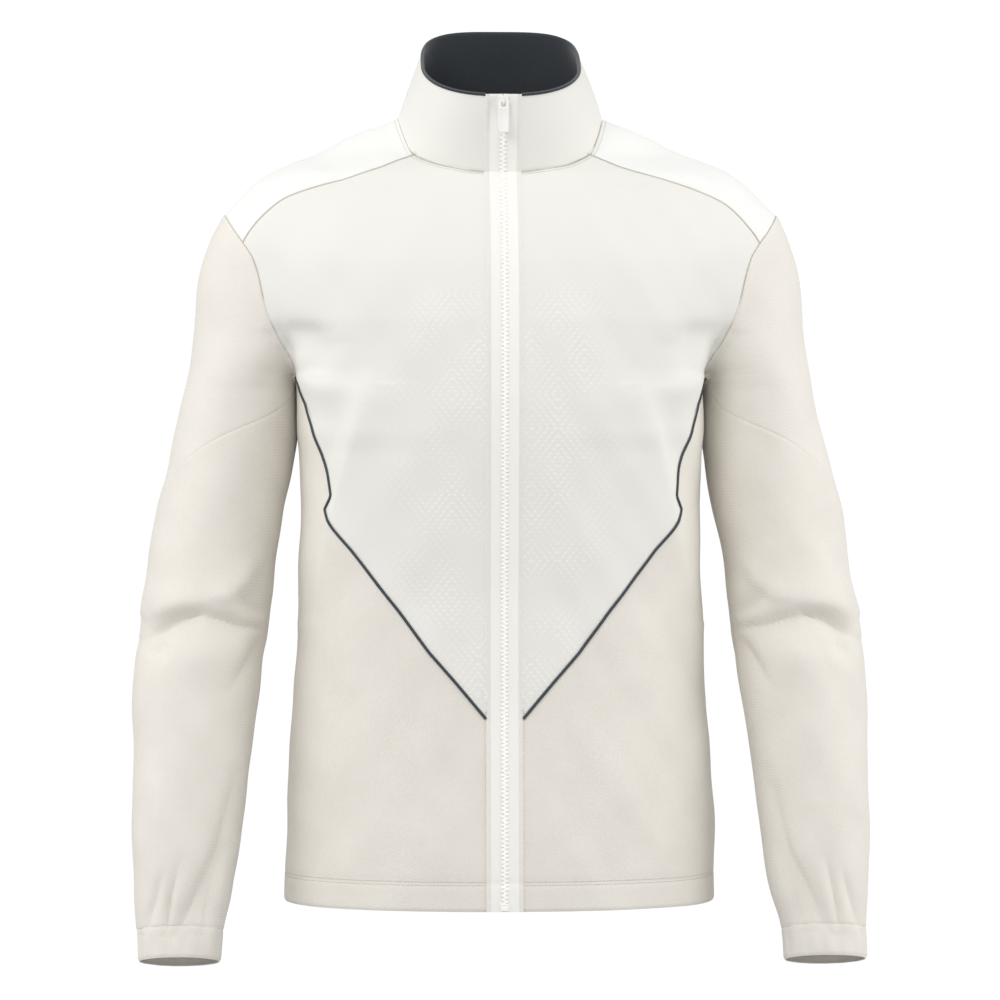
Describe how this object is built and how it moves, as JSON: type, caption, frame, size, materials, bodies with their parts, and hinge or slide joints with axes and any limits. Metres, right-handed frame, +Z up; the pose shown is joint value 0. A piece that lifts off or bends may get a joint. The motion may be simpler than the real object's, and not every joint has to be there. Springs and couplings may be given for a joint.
{
  "type": "full-zip track top",
  "caption": "Long-sleeved full-zip track top with a stand collar, dark collar facing, piped V panels and slanted sleeve seams, filled out as worn with nobody in it.",
  "frame": {"origin": "where the shoulders hold the garment up: on the centre line, mid-depth, level with the side of the neck", "axes": "+Z up, front towards -Y, +X towards the wearer's left"},
  "size_m": [0.654, 0.2528, 0.8407],
  "materials": {
    "chest_knit": "smooth matt white knit",
    "yoke_knit": "smooth matt knit, the whitest",
    "ribbed_knit": "matt off-white knit with fine level ribs",
    "twill_knit": "matt off-white knit with a fine slanted grain",
    "dark_knit": "matt charcoal knit",
    "zip_tape": "woven zip tape",
    "zip_plastic": "moulded white plastic"
  },
  "bodies": {
    "garment": {"back": "twill_knit", "chest_left": "chest_knit", "chest_right": "chest_knit", "collar_facing": "dark_knit", "collar_outer": "chest_knit", "cuff_left": "twill_knit", "cuff_right": "twill_knit", "lower_front_left": "twill_knit", "lower_front_right": "twill_knit", "lower_sleeve_left": "twill_knit", "lower_sleeve_right": "twill_knit", "piping_left": "dark_knit", "piping_right": "dark_knit", "upper_sleeve_left": "ribbed_knit", "upper_sleeve_right": "ribbed_knit", "yoke_left": "yoke_knit", "yoke_right": "yoke_knit", "zip_bottom_stop": "zip_plastic", "zip_chain": "zip_plastic", "zip_slider": "zip_plastic", "zip_tape_left": "zip_tape", "zip_tape_right": "zip_tape"},
    "pull_tab": {"zip_pull_tab": "zip_plastic"}
  },
  "joints": [
    {"name": "pull_tab_hinge", "type": "hinge", "parent": "garment", "child": "pull_tab", "pos_m": [0, -0.09165, 0.02561], "axis": [1, 0, 0], "range_deg": [-155, 11]}
  ]
}
